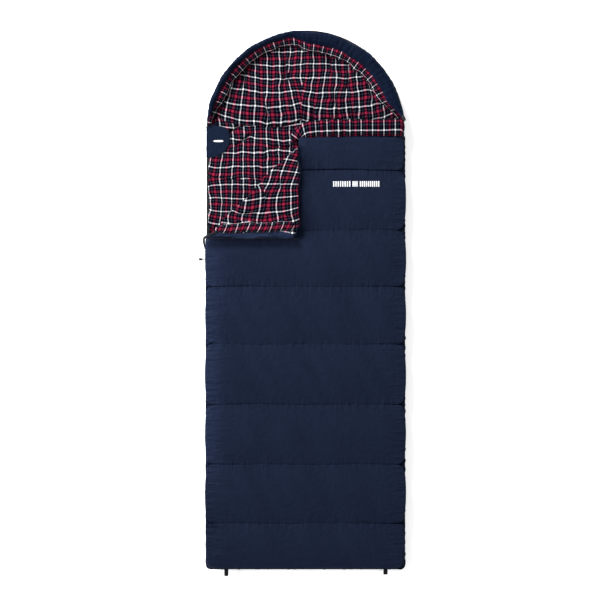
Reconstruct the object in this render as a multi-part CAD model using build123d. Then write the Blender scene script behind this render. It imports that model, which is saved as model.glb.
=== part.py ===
from build123d import *

import math
import os

# A rectangular sleeping bag with a semicircular hood, lying on its back, its front's upper corner turned open.
# Units are millimetres. The origin is the centre of the underside, +Z is up and +Y is towards the head.
# +X is the closed long side, and the zip runs along the -X side.

# --- driving dimensions -------------------------------------------------------------------------------
WIDTH = 900.0
BODY_LENGTH = 1980.0  # foot edge to the hood's widest line
LAYER = 34.0  # loft of one quilted layer, back or front
CAVITY = 14.0  # room left between the two layers
CLOTH = 1.5  # shell or lining, with its seam allowance

HALF = WIDTH / 2
FOOT_Y = -(BODY_LENGTH + HALF) / 2
HOOD_Y = FOOT_Y + BODY_LENGTH  # centre of the hood's semicircle
FOOT_CORNER_RADIUS = 22.0

BACK_TOP = LAYER
FRONT_LOW = LAYER + CAVITY
FRONT_TOP = FRONT_LOW + LAYER
GAP_MIDDLE = BACK_TOP + CAVITY / 2

# front panel: its plain part ends under the collar, and its corner turns over along a 45 degree fold
FRONT_HEAD_Y = 738.0
FOLD_START_Y = 275.0  # where the fold meets the zipped edge
FLAP_HEAD_Y = 695.0  # head edge of the closed corner
FOLD_GAP = 0.7
FOLD_END_X = -HALF + FLAP_HEAD_Y - FOLD_START_Y
FOLD_Z = FRONT_TOP + 0.25
FOLD_AXIS = Axis((-HALF, FOLD_START_Y, FOLD_Z), (1, 1, 0))

# collar: the rolled lining edge at the head end of the front
COLLAR_DEPTH = 76.0
COLLAR_HEIGHT = 56.0
COLLAR_LEFT_X = -34.0
COLLAR_ROUND = 20.0

# hood rim: a padded edge that stands up round the semicircle
RIM_DEPTH = 58.0
RIM_TOP = 114.0
RIM_ROUND = 24.0
RIM_START = 8.0  # degrees round the hood's centre, from +X
RIM_END = 176.0
RIM_SEAM_RADIUS = HALF - 46.0  # where the shell meets the lining on the rim's crest

# drawcord in the rim's channel, and its lock
CORD_RADIUS = 2.0
CHANNEL_RADIUS = 4.5
CHANNEL_CLOTH = 0.8
CORD_LINE_RADIUS = HALF - 8.0
CORD_Z = 98.0
CORD_BEND = 14.0
CORD_RISE = 15.5
CORD_HIDDEN_END = 2.0  # degrees of channel left empty past the sewn end of the cord
LOCK_RADIUS = 6.5
LOCK_LENGTH = 20.0
LOCK_WALL = 2.0
LOCK_BORE_RADIUS = 4.5
LOCK_HOLE_Z = 14.0  # the cord's hole, from the closed end
LOCK_HOLE_RADIUS = 2.6
LOCK_TRAVEL = 4.0
LOCK_TILT = 28.0  # degrees of the lock's axis from -Y towards +X
LOCK_LIFT = 6.0  # straight cord below the lock's hole
KNOT_RADIUS = 4.5

# zip: its tapes and coils stand in the upright plane of the -X side
TAPE = 1.2
TAPE_WIDTH = 18.0
COIL_SIZE = 2.5
COIL_GAP = 1.2
COIL_OUT_X = -HALF - 2.2
COIL_IN_X = -HALF + 0.6
ZIP_FOOT_Y = -1186.0
ZIP_HEAD_Y = 690.0
STOP_LENGTH = 4.0
ZIP_FOLD_CLEARANCE = 3.0

SLIDER_Y = 184.0
SLIDER_LENGTH = 13.0
SLIDER_HEIGHT = 11.0
SLIDER_LIP = 1.4
SLIDER_OUT_X = -HALF - 5.0
SLIDER_IN_X = -HALF + 2.6
SLIDER_PLATE = 1.4
BRIDGE = 0.9
BRIDGE_LENGTH = 4.5

PULL_PIN_X = -HALF - 7.4
PULL_PIN_RADIUS = 0.9
LUG = 1.2
LINK_HEIGHT = 4.6
LINK_EYE_RADIUS = 2.2
LINK_REACH = 9.5  # pin to the loop's bar
LINK_PLATE = 1.6
LOOP_WIRE = 1.2
LOOP_WIDTH = 14.0
LOOP_LENGTH = 14.5

# draft tubes behind the zip
DRAFT_WIDTH = 42.0
DRAFT_HEIGHT = 11.0
DRAFT_ROUND = 5.0
DRAFT_X = -HALF + 4.0
DRAFT_FOLD_CLEARANCE = 8.0

# webbing loops at the foot: centre, width, length
WEBBING = 1.2
LOOP_GAP = 6.0
HANGING_LOOPS = {"left": (-358.0, 18.0, 34.0), "right": (362.0, 19.0, 27.0)}

# corner patch on the hood's lining, and the plain marks
PATCH_Y = 718.0
PATCH_REACH = 110.0
PATCH_HALF_LENGTH = 74.0
PATCH_CLOTH = 1.2
MARK = 0.4
MARK_LENGTH = 46.0
MARK_WIDTH = 9.0
PRINT_LEFT_X = 124.0
PRINT_Y = 521.0
PRINT_HEIGHT = 25.0
PRINT_GAP = 9.0
PRINT_WIDTHS = (78.0, 24.0, 88.0)


# --- helpers ------------------------------------------------------------------------------------------
def block(x0, x1, y0, y1, z0, z1):
    """A box between two corners."""
    size = Box(x1 - x0, y1 - y0, z1 - z0)
    return Pos((x0 + x1) / 2, (y0 + y1) / 2, (z0 + z1) / 2) * size


def raised(outline, low, high):
    """A flat outline made solid between two heights."""
    return Pos(0, 0, low) * extrude(outline, amount=high - low)


def back_outline(inset):
    """The back layer seen from above: a rectangle with rounded foot corners, and the half-round hood."""
    half = HALF - inset
    length = HOOD_Y - FOOT_Y - inset
    body = Pos(0, HOOD_Y - length / 2) * Rectangle(2 * half, length)
    foot_corners = body.vertices().group_by(Axis.Y)[0]
    body = fillet(foot_corners, FOOT_CORNER_RADIUS - inset)
    return body + Pos(0, HOOD_Y) * Circle(half)


def front_outline(inset):
    """The front layer without its turned corner."""
    left, right = -HALF + inset, HALF - inset
    foot, head = FOOT_Y + inset, FRONT_HEAD_Y - inset
    slant = (FOLD_GAP + inset) * math.sqrt(2)
    end_x = FOLD_END_X + inset
    fold_foot = (left, left + FOLD_START_Y + HALF - slant)
    fold_head = (end_x, end_x + FOLD_START_Y + HALF - slant)
    corners = [(left, foot), (right, foot), (right, head), (end_x, head), fold_head, fold_foot]
    panel = make_face(Polyline(*corners, close=True))
    foot_corners = panel.vertices().group_by(Axis.Y)[0]
    return fillet(foot_corners, FOOT_CORNER_RADIUS - inset)


def flap_outline(inset):
    """The turned corner where it lies when it is closed."""
    left, head = -HALF + inset, FLAP_HEAD_Y - inset
    slant = (FOLD_GAP + inset) * math.sqrt(2)
    fold_foot = (left, left + FOLD_START_Y + HALF + slant)
    fold_head = (head - FOLD_START_Y - HALF - slant, head)
    return make_face(Polyline(fold_foot, (left, head), fold_head, close=True))


def turned_open(closed):
    """Carries a piece of the closed corner over the fold, to where it lies at rest."""
    return closed.rotate(FOLD_AXIS, 180)


def shell_tray(outline, low, high, floor_low):
    """Shell cloth of one layer: a sheet over its face and a wall round its edge."""
    skin = raised(outline(0), low, high)
    return skin - raised(outline(CLOTH), floor_low, floor_low + LAYER - CLOTH)


# --- the two quilted layers -----------------------------------------------------------------------------
def back_layer():
    return {
        "back_shell": shell_tray(back_outline, 0, BACK_TOP, CLOTH),
        "back_fill": raised(back_outline(CLOTH), CLOTH, BACK_TOP - CLOTH),
        "back_lining": raised(back_outline(CLOTH), BACK_TOP - CLOTH, BACK_TOP),
    }


def front_layer():
    return {
        "front_shell": shell_tray(front_outline, FRONT_LOW, FRONT_TOP, FRONT_LOW),
        "front_fill": raised(front_outline(CLOTH), FRONT_LOW + CLOTH, FRONT_TOP - CLOTH),
        "front_lining": raised(front_outline(CLOTH), FRONT_LOW, FRONT_LOW + CLOTH),
    }


def corner_flap():
    closed = {
        "flap_shell": shell_tray(flap_outline, FRONT_LOW, FRONT_TOP, FRONT_LOW),
        "flap_fill": raised(flap_outline(CLOTH), FRONT_LOW + CLOTH, FRONT_TOP - CLOTH),
        "flap_lining": raised(flap_outline(CLOTH), FRONT_LOW, FRONT_LOW + CLOTH),
    }
    return {name: turned_open(piece) for name, piece in closed.items()}


def closed_edges():
    """The sewn edges that join the layers: the long +X side, and the foot."""
    side_start = FOOT_Y + FOOT_CORNER_RADIUS
    foot_half = HALF - FOOT_CORNER_RADIUS
    return {
        "side_seam": block(HALF - CLOTH, HALF, side_start, FRONT_HEAD_Y, BACK_TOP, FRONT_LOW),
        "foot_seam": block(-foot_half, foot_half, FOOT_Y, FOOT_Y + CLOTH, BACK_TOP, FRONT_LOW),
    }


def collar():
    """The padded roll of lining across the front's head end."""
    profile = Rectangle(COLLAR_DEPTH, COLLAR_HEIGHT)
    upper = profile.vertices().group_by(Axis.Y)[-1]
    profile = fillet(upper, COLLAR_ROUND)
    inside = offset(profile, -CLOTH)
    middle = (COLLAR_LEFT_X, FRONT_HEAD_Y + COLLAR_DEPTH / 2, FRONT_LOW + COLLAR_HEIGHT / 2)
    section = Plane(origin=middle, x_dir=(0, 1, 0), z_dir=(1, 0, 0))
    length = HALF - COLLAR_LEFT_X
    return {
        "collar_cover": extrude(section * (profile - inside), amount=length),
        "collar_fill": extrude(section * inside, amount=length),
    }


# --- hood rim and drawcord ------------------------------------------------------------------------------
def rim_plane():
    """Upright plane through the hood's centre, at the rim's start, with x as the radius and y as height."""
    angle = math.radians(RIM_START)
    outward = (math.cos(angle), math.sin(angle), 0)
    sideways = (math.sin(angle), -math.cos(angle), 0)
    return Plane(origin=(0, HOOD_Y, 0), x_dir=outward, z_dir=sideways)


def round_the_hood(profile, degrees=RIM_END - RIM_START):
    """Turns a radius-and-height profile about the hood's upright axis."""
    return revolve(rim_plane() * profile, Axis((0, HOOD_Y, 0), (0, 0, 1)), degrees)


def hood_rim():
    height = RIM_TOP - BACK_TOP
    profile = Rectangle(RIM_DEPTH, height)
    upper = profile.vertices().group_by(Axis.Y)[-1]
    centre = Pos(HALF - RIM_DEPTH / 2, BACK_TOP + height / 2)
    profile = centre * fillet(upper, RIM_ROUND)
    inside = offset(profile, -CLOTH)
    skin = profile - inside
    lining_side = Pos(RIM_SEAM_RADIUS - RIM_DEPTH / 2, RIM_TOP / 2) * Rectangle(RIM_DEPTH, 2 * RIM_TOP)
    channel = Pos(CORD_LINE_RADIUS, CORD_Z) * Circle(CHANNEL_RADIUS)
    channel_bore = Pos(CORD_LINE_RADIUS, CORD_Z) * Circle(CHANNEL_RADIUS - CHANNEL_CLOTH)
    return {
        "hood_rim_shell": round_the_hood(skin - lining_side),
        "hood_rim_lining": round_the_hood(skin & lining_side),
        "hood_rim_fill": round_the_hood(inside - channel),
        "hood_cord_channel": round_the_hood(channel - channel_bore),
    }


def cord_exit():
    """Where the cord leaves its channel, and the direction in which it leaves."""
    angle = math.radians(RIM_START)
    outward = Vector(math.cos(angle), math.sin(angle), 0)
    point = Vector(0, HOOD_Y, CORD_Z) + outward * CORD_LINE_RADIUS
    return point, Vector(math.sin(angle), -math.cos(angle), 0)


def cord_riser():
    """Foot of the upright stretch on which the lock sits."""
    point, leaving = cord_exit()
    return point + leaving * CORD_BEND + Vector(0, 0, CORD_BEND)


def drawcord():
    """The cord from its sewn end round the hood, out through the eyelet and up through the lock."""
    hidden_end = RIM_END - CORD_HIDDEN_END
    centre = (0, HOOD_Y, CORD_Z)
    held = CenterArc(centre, CORD_LINE_RADIUS, hidden_end, RIM_START - hidden_end)
    point, leaving = cord_exit()
    foot = cord_riser()
    bend = TangentArc(point, foot, tangent=leaving)
    rise = Line(foot, foot + Vector(0, 0, CORD_RISE))
    section = Plane(origin=held @ 0, z_dir=held % 0) * Circle(CORD_RADIUS)
    eyelet_plane = Plane(origin=point, z_dir=leaving)
    eyelet = Circle(CHANNEL_RADIUS + 1) - Circle(CORD_RADIUS + 0.4)
    knot_centre = foot + Vector(0, 0, CORD_RISE + KNOT_RADIUS - 0.5)
    knot = Pos(*knot_centre) * Sphere(KNOT_RADIUS)
    cord = sweep(section, path=Wire([held, bend, rise]))
    return {
        "hood_drawcord": cord,
        "drawcord_eyelet": extrude(eyelet_plane * eyelet, amount=CLOTH),
        "drawcord_knot": knot - cord,
    }


def cord_lock():
    """A barrel lock: the cord crosses it, and a sprung button grips the cord until it is pressed."""
    hole = Rot(0, 90, 0) * Cylinder(LOCK_HOLE_RADIUS, 4 * LOCK_RADIUS)
    bottom = Align.CENTER, Align.CENTER, Align.MIN
    barrel = Cylinder(LOCK_RADIUS, LOCK_LENGTH, align=bottom)
    barrel = fillet(barrel.edges().group_by(Axis.Z)[0], LOCK_WALL - 0.5)
    bore = Pos(0, 0, LOCK_WALL) * Cylinder(LOCK_BORE_RADIUS, LOCK_LENGTH, align=bottom)
    body = barrel - bore - Pos(0, 0, LOCK_HOLE_Z) * hole

    stem_low = LOCK_WALL + 2.5 + LOCK_TRAVEL
    cap_low = LOCK_LENGTH + LOCK_TRAVEL + 0.2
    stem = Pos(0, 0, stem_low) * Cylinder(LOCK_BORE_RADIUS - 0.2, cap_low - stem_low, align=bottom)
    cap = Pos(0, 0, cap_low) * Cylinder(LOCK_RADIUS, LOCK_WALL, align=bottom)
    slot_high = LOCK_HOLE_Z + LOCK_HOLE_RADIUS + LOCK_TRAVEL
    slot_low = LOCK_HOLE_Z - LOCK_HOLE_RADIUS
    slot_width = 2 * LOCK_HOLE_RADIUS
    slot = Pos(0, 0, (slot_low + slot_high) / 2) * Box(4 * LOCK_RADIUS, slot_width, slot_high - slot_low)
    button = stem - slot + cap

    spring_height = stem_low - LOCK_WALL
    turns = 3
    wire = 0.7
    coil = Helix(pitch=(spring_height - wire) / turns, height=spring_height - wire, radius=3.2)
    spring = sweep(Plane(origin=coil @ 0, z_dir=coil % 0) * Circle(wire / 2 - 0.01), path=coil)
    spring = Pos(0, 0, LOCK_WALL + wire / 2) * spring

    foot = cord_riser()
    tilt = math.radians(LOCK_TILT)
    along = Vector(math.sin(tilt), -math.cos(tilt), 0)
    start = foot + Vector(0, 0, LOCK_LIFT) - along * LOCK_HOLE_Z
    place = Plane(origin=start, x_dir=(0, 0, 1), z_dir=along)
    return {
        "cord_lock_body": place * body,
        "cord_lock_button": place * button,
        "cord_lock_spring": place * spring,
    }


# --- zip ------------------------------------------------------------------------------------------------
LOWER_COIL = (GAP_MIDDLE - COIL_GAP / 2 - COIL_SIZE, GAP_MIDDLE - COIL_GAP / 2)
UPPER_COIL = (GAP_MIDDLE + COIL_GAP / 2, GAP_MIDDLE + COIL_GAP / 2 + COIL_SIZE)
LOWER_TAPE = (LOWER_COIL[0] - TAPE_WIDTH, LOWER_COIL[0])
UPPER_TAPE = (UPPER_COIL[1], UPPER_COIL[1] + TAPE_WIDTH)


def coil(heights, y0, y1):
    return block(COIL_OUT_X, COIL_IN_X, y0, y1, *heights)


def tape(heights, y0, y1):
    return block(-HALF - TAPE, -HALF, y0, y1, *heights)


def zip_halves():
    """Back, front and flap lengths of the zip, with their end stops."""
    front_head = FOLD_START_Y - ZIP_FOLD_CLEARANCE
    flap_foot = FOLD_START_Y + ZIP_FOLD_CLEARANCE
    stop_head = ZIP_HEAD_Y + STOP_LENGTH
    both = (LOWER_COIL[0], UPPER_COIL[1])
    return {
        "zip_tape_back": tape(LOWER_TAPE, ZIP_FOOT_Y, stop_head),
        "zip_tape_front": tape(UPPER_TAPE, ZIP_FOOT_Y, front_head),
        "zip_tape_flap": turned_open(tape(UPPER_TAPE, flap_foot, stop_head)),
        "zip_coil_back": coil(LOWER_COIL, ZIP_FOOT_Y, ZIP_HEAD_Y),
        "zip_coil_front": coil(UPPER_COIL, ZIP_FOOT_Y, front_head),
        "zip_coil_flap": turned_open(coil(UPPER_COIL, flap_foot, ZIP_HEAD_Y)),
        "zip_bottom_stop": coil(both, ZIP_FOOT_Y - STOP_LENGTH, ZIP_FOOT_Y),
        "zip_top_stop_back": coil(LOWER_COIL, ZIP_HEAD_Y, stop_head),
        "zip_top_stop_flap": turned_open(coil(UPPER_COIL, ZIP_HEAD_Y, stop_head)),
    }


def zip_slider():
    """Two plates with lips round the coils, a bridge between them, and lugs and a pin for the pull."""
    y0, y1 = SLIDER_Y - SLIDER_LENGTH / 2, SLIDER_Y + SLIDER_LENGTH / 2
    z0, z1 = GAP_MIDDLE - SLIDER_HEIGHT / 2, GAP_MIDDLE + SLIDER_HEIGHT / 2
    outer_face = SLIDER_OUT_X + SLIDER_PLATE
    inner_face = SLIDER_IN_X - SLIDER_LIP
    tape_slot = (-HALF - TAPE - 0.5, -HALF + 0.3)
    body = block(SLIDER_OUT_X, outer_face, y0, y1, z0, z1)
    body += block(inner_face, SLIDER_IN_X, y0, y1, z0, z1)
    for low in (z0, z1 - SLIDER_LIP):
        body += block(outer_face, tape_slot[0], y0, y1, low, low + SLIDER_LIP)
        body += block(tape_slot[1], inner_face, y0, y1, low, low + SLIDER_LIP)
    bridge_z = (GAP_MIDDLE - BRIDGE / 2, GAP_MIDDLE + BRIDGE / 2)
    body += block(outer_face, inner_face, y1 - BRIDGE_LENGTH, y1, *bridge_z)
    lug_out_x = PULL_PIN_X - 1.4
    for side in (-1, 1):
        lug_z = GAP_MIDDLE + side * (LINK_HEIGHT / 2 + 0.1 + LUG / 2)
        body += block(lug_out_x, SLIDER_OUT_X, SLIDER_Y - 1.5, SLIDER_Y + 1.5, lug_z - LUG / 2, lug_z + LUG / 2)
    pin = Cylinder(PULL_PIN_RADIUS, LINK_HEIGHT + 0.2)
    return {"zip_slider_body": body + Pos(PULL_PIN_X, SLIDER_Y, GAP_MIDDLE) * pin}


def zip_pull():
    """A link on the slider's pin, and the loop that the fingers hold."""
    eye = Cylinder(LINK_EYE_RADIUS, LINK_HEIGHT)
    plate_length = LINK_REACH + 0.6
    plate = Pos(-plate_length / 2, 0) * Box(plate_length, LINK_PLATE, LINK_HEIGHT)
    bar_hole = Pos(-LINK_REACH, 0) * Rot(90, 0, 0) * Cylinder(LOOP_WIRE, 4 * LINK_PLATE)
    link_end = Pos(-LINK_REACH, 0) * Rot(90, 0, 0) * Cylinder(LINK_HEIGHT / 2, LINK_PLATE)
    link = eye + plate + link_end - Cylinder(PULL_PIN_RADIUS + 0.1, LINK_HEIGHT) - bar_hole
    route = RectangleRounded(LOOP_LENGTH, LOOP_WIDTH - 2 * LOOP_WIRE, LOOP_WIDTH / 4).wire()
    start = Plane(origin=route @ 0, z_dir=route % 0)
    loop = Pos(-LINK_REACH - LOOP_LENGTH / 2, 0) * sweep(start * Circle(LOOP_WIRE), path=route)
    place = Pos(PULL_PIN_X, SLIDER_Y, GAP_MIDDLE)
    return {"zip_pull_link": place * link, "zip_pull_loop": place * loop}


def draft_tubes():
    """Padded tubes along the inside of the zip, which cover its coils from the sleeper."""
    profile = RectangleRounded(DRAFT_WIDTH, DRAFT_HEIGHT, DRAFT_ROUND)
    start = Plane(origin=(DRAFT_X + DRAFT_WIDTH / 2, 0, GAP_MIDDLE), x_dir=(1, 0, 0), z_dir=(0, -1, 0))
    front_head = FOLD_START_Y - DRAFT_FOLD_CLEARANCE
    flap_foot = FOLD_START_Y + DRAFT_X + DRAFT_WIDTH + HALF + DRAFT_FOLD_CLEARANCE
    front_length = front_head - ZIP_FOOT_Y
    flap_length = ZIP_HEAD_Y - flap_foot
    front = Pos(0, front_head, 0) * extrude(start * profile, amount=front_length)
    flap = Pos(0, ZIP_HEAD_Y, 0) * extrude(start * profile, amount=flap_length)
    return {"draft_tube_front": front, "draft_tube_flap": turned_open(flap)}


# --- small trim -----------------------------------------------------------------------------------------
def hanging_loops():
    """Folded webbing, sewn into the foot seam."""
    pieces = {}
    for side, (x, width, length) in HANGING_LOOPS.items():
        outer_radius = LOOP_GAP / 2 + WEBBING
        straight = length - outer_radius
        outer = Pos(-straight / 2, 0) * Rectangle(straight, 2 * outer_radius)
        outer += Pos(-straight, 0) * Circle(outer_radius)
        inner = Pos(-straight / 2, 0) * Rectangle(straight, LOOP_GAP)
        inner += Pos(-straight, 0) * Circle(LOOP_GAP / 2)
        middle = (x - width / 2, FOOT_Y, GAP_MIDDLE)
        section = Plane(origin=middle, x_dir=(0, 1, 0), z_dir=(1, 0, 0))
        pieces["hanging_loop_" + side] = extrude(section * (outer - inner), amount=width)
    return pieces


def corner_patch():
    """A half-oval patch at the hood's corner, with a plain stitched mark."""
    whole = Ellipse(PATCH_REACH, PATCH_HALF_LENGTH)
    outer_half = Pos(PATCH_REACH / 2, 0) * Rectangle(PATCH_REACH, 2 * PATCH_HALF_LENGTH)
    place = Pos(-HALF + CLOTH, PATCH_Y)
    patch = place * (whole & outer_half)
    mark = place * Pos(PATCH_REACH / 2, 0) * SlotOverall(MARK_LENGTH, MARK_WIDTH)
    patch_top = BACK_TOP + PATCH_CLOTH
    return {
        "corner_patch": raised(patch, BACK_TOP, patch_top),
        "patch_mark": raised(mark, patch_top, patch_top + MARK),
    }


def printed_bars():
    """Three plain bars printed on the front."""
    bars = []
    left = PRINT_LEFT_X
    for width in PRINT_WIDTHS:
        y0, y1 = PRINT_Y - PRINT_HEIGHT / 2, PRINT_Y + PRINT_HEIGHT / 2
        bars.append(block(left, left + width, y0, y1, FRONT_TOP, FRONT_TOP + MARK))
        left += width + PRINT_GAP
    return {"printed_bars": Compound(children=bars)}


# --- build and write ------------------------------------------------------------------------------------
SECTIONS = (
    back_layer,
    front_layer,
    corner_flap,
    closed_edges,
    collar,
    hood_rim,
    drawcord,
    cord_lock,
    zip_halves,
    zip_slider,
    zip_pull,
    draft_tubes,
    hanging_loops,
    corner_patch,
    printed_bars,
)

os.makedirs("parts", exist_ok=True)
for section in SECTIONS:
    for name, piece in section().items():
        export_step(piece, f"parts/{name}.step")
print("slider travel", SLIDER_Y - SLIDER_LENGTH / 2 - ZIP_FOOT_Y - 0.5)
print("lock start", cord_riser(), "tilt", LOCK_TILT)
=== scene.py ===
import math

import bpy
import numpy as np
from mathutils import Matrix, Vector
from mathutils.bvhtree import BVHTree


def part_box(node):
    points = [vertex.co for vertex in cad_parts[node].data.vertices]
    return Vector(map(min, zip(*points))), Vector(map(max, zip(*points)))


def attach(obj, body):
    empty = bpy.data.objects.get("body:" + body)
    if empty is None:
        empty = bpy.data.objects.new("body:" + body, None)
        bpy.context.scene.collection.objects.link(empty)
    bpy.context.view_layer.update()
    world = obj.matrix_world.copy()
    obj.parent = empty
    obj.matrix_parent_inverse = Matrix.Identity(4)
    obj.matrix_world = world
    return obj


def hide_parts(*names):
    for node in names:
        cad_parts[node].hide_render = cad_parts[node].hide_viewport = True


# A hooded sleeping bag lying flat, seen from straight above, with the zipped corner of its front turned open.
# Metres throughout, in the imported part's frame: +Z up, +Y towards the head, the zip along -X.
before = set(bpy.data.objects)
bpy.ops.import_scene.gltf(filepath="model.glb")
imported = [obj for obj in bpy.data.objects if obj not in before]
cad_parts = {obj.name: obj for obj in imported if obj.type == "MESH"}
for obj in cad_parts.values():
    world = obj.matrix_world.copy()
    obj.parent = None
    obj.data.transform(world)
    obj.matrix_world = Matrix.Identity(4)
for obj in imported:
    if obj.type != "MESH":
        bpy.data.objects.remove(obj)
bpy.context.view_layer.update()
scene = bpy.context.scene

# --- places read from the frame ---
back_low, back_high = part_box("back_shell")
front_low, front_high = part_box("front_shell")
flap_low, flap_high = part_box("flap_shell")
collar_low, collar_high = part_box("collar_cover")
patch_low, patch_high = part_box("corner_patch")

HALF = back_high.x
FOOT_Y = back_low.y
HOOD_Y = back_high.y - HALF
BACK_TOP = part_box("back_lining")[1].z
GAP_Z = (BACK_TOP + front_low.z) / 2
FOLD_Z = (front_high.z + flap_low.z) / 2
FOLD_Y = flap_low.y  # where the fold meets the zipped edge
FOLD_SHIFT = FOLD_Y + HALF  # the fold is the line y = x + FOLD_SHIFT
FLAP_X = flap_high.x
FLAP_Y = FLAP_X + FOLD_SHIFT
TUBE_EDGE_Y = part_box("draft_tube_flap")[1].y
LOFT = front_high.z - front_low.z
RIM_OUT = HALF - 0.0022  # radius of the hood rim's outer face

# --- how the cloth is cut and sewn ---
CELL = 0.005  # between the front cloth's points
FRONT_SEAMS = (-1.006, -0.740, -0.472, -0.200, 0.061, 0.317, 0.583)
BACK_SEAMS = (-1.006, -0.740, -0.472, -0.200, 0.061, 0.317, 0.548, 0.822)
FOOT_ROUND = 0.020
LIP = CELL  # flat allowance between the edge seam and the padding
EDGE_Z = front_low.z + 0.012  # the front's navy cloth at the edge seam, in its cross seams, and between them
SEAM_Z = front_low.z + 0.004
CREST_Z = front_high.z + 0.008
CHECK = 0.051  # repeat of the tartan, and its threads, which darken as they cross
WHITE, GREY, RED, BLACK = (1.0, 1.0, 1.0), (0.29, 0.33, 0.36), (0.55, 0.19, 0.28), (0.060, 0.065, 0.110)
TAPE_THICK = 0.0011


# --- numbers ---
def waves(x, y, length, seed):
    """Smooth even noise between about -1 and 1, with its bumps about half of length wide."""
    count = 9
    rng = np.random.default_rng(seed)
    total = np.zeros(np.broadcast(x, y).shape)
    for _ in range(count):
        angle = rng.uniform(0, math.tau)
        number = math.tau / (length * rng.uniform(0.7, 1.5))
        phase = rng.uniform(0, math.tau)
        total += np.sin(number * (math.cos(angle) * x + math.sin(angle) * y) + phase)
    return total / math.sqrt(count) / 1.4


def ripple(x, length, seed):
    """The same noise along a line."""
    count = 7
    rng = np.random.default_rng(seed)
    total = np.zeros(np.shape(x))
    for _ in range(count):
        number = math.tau / (length * rng.uniform(0.7, 1.6))
        total += np.sin(number * x + rng.uniform(0, math.tau))
    return total / math.sqrt(count) / 1.2


def smooth(value, low, high):
    """0 at low, 1 at high, and a smooth step between."""
    t = np.clip((value - low) / (high - low), 0, 1)
    return t * t * (3 - 2 * t)


def quarter_round(distance, radius):
    """Height of a rounded edge, 0 at its foot and 1 from one radius in."""
    return np.sqrt(1 - (1 - np.clip(distance / radius, 0, 1)) ** 2)


def bump_at(distance, width):
    return np.exp(-((distance / width) ** 2))


def soft_min(a, b, width):
    """The lower of a and b, rounded over the given width."""
    h = np.clip(0.5 + 0.5 * (b - a) / width, 0, 1)
    return b * (1 - h) + a * h - width * h * (1 - h)


def nearest(values, wanted):
    """Which of the values is closest to the one wanted."""
    return int(np.argmin(np.abs(values - wanted)))


def distance_to(y, seams):
    return np.min([np.abs(y - seam) for seam in seams], axis=0)


def points_at(*coordinates):
    """Points from their coordinates, each a number or an array."""
    return np.stack(np.broadcast_arrays(*coordinates), -1)


def unit(vectors):
    return vectors / (np.linalg.norm(vectors, axis=-1, keepdims=True) + 1e-9)


def fold_distance(x, y):
    """Distance from the fold, positive on the side where the front stays put."""
    return (x - y + FOLD_SHIFT) / math.sqrt(2)


def turned_open(points):
    """Where points of the shut corner lie once it is turned over the fold."""
    return points_at(points[..., 1] - FOLD_SHIFT, points[..., 0] + FOLD_SHIFT, 2 * FOLD_Z - points[..., 2])


def finer(grid):
    """Twice as many cells each way, by halving each one."""
    rows = np.empty((2 * grid.shape[0] - 1,) + grid.shape[1:])
    rows[::2] = grid
    rows[1::2] = (grid[:-1] + grid[1:]) / 2
    both = np.empty((rows.shape[0], 2 * grid.shape[1] - 1) + grid.shape[2:])
    both[:, ::2] = rows
    both[:, 1::2] = (rows[:, :-1] + rows[:, 1:]) / 2
    return both


class Surface:
    """A laid cloth's height, looked up by plan position."""

    def __init__(self, points, inside):
        faces = plan_faces(inside)
        self.tree = BVHTree.FromPolygons(points.reshape(-1, 3).tolist(), faces)
        self.usual = float(np.median(points[..., 2]))

    def at(self, x, y):
        heights = []
        for px, py in zip(np.ravel(x), np.ravel(y)):
            hit, _, _, _ = self.tree.ray_cast((px, py, 1.0), (0, 0, -1))
            heights.append(self.usual if hit is None else hit.z)
        return np.reshape(heights, np.shape(x))


# --- cloth simulation ---
def pull_together(a, b, free_a, free_b, rest, stiffness):
    """Moves two sets of cloth points towards their rest distance, in place."""
    apart = b - a
    length = np.linalg.norm(apart, axis=-1, keepdims=True)
    move = apart * (stiffness * (length - rest) / (length + 1e-9) / (free_a + free_b + 1e-9))
    a += free_a * move
    b -= free_b * move


def hold_threads(cloth, free, across, along, stiffness, step):
    """Holds the threads of the weave at their length, between points that are step apart."""
    for start in range(2 * step):
        ends = slice(start, -step, 2 * step), slice(start + step, None, 2 * step)
        count = min(cloth[:, ends[0]].shape[1], cloth[:, ends[1]].shape[1])
        a, b = cloth[:, ends[0]][:, :count], cloth[:, ends[1]][:, :count]
        pull_together(a, b, free[:, ends[0]][:, :count], free[:, ends[1]][:, :count], across, stiffness)
        count = min(len(cloth[ends[0]]), len(cloth[ends[1]]))
        a, b = cloth[ends[0]][:count], cloth[ends[1]][:count]
        pull_together(a, b, free[ends[0]][:count], free[ends[1]][:count], along, stiffness)


def hold_bias(cloth, free, slant, stiffness):
    """Resists shearing along both diagonals of the weave."""
    for start in (0, 1):
        a, b = cloth[start:-1:2], cloth[start + 1::2]
        free_a, free_b = free[start:-1:2], free[start + 1::2]
        pull_together(a[:, :-1], b[:, 1:], free_a[:, :-1], free_b[:, 1:], slant, stiffness)
        pull_together(a[:, 1:], b[:, :-1], free_a[:, 1:], free_b[:, :-1], slant, stiffness)


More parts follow.
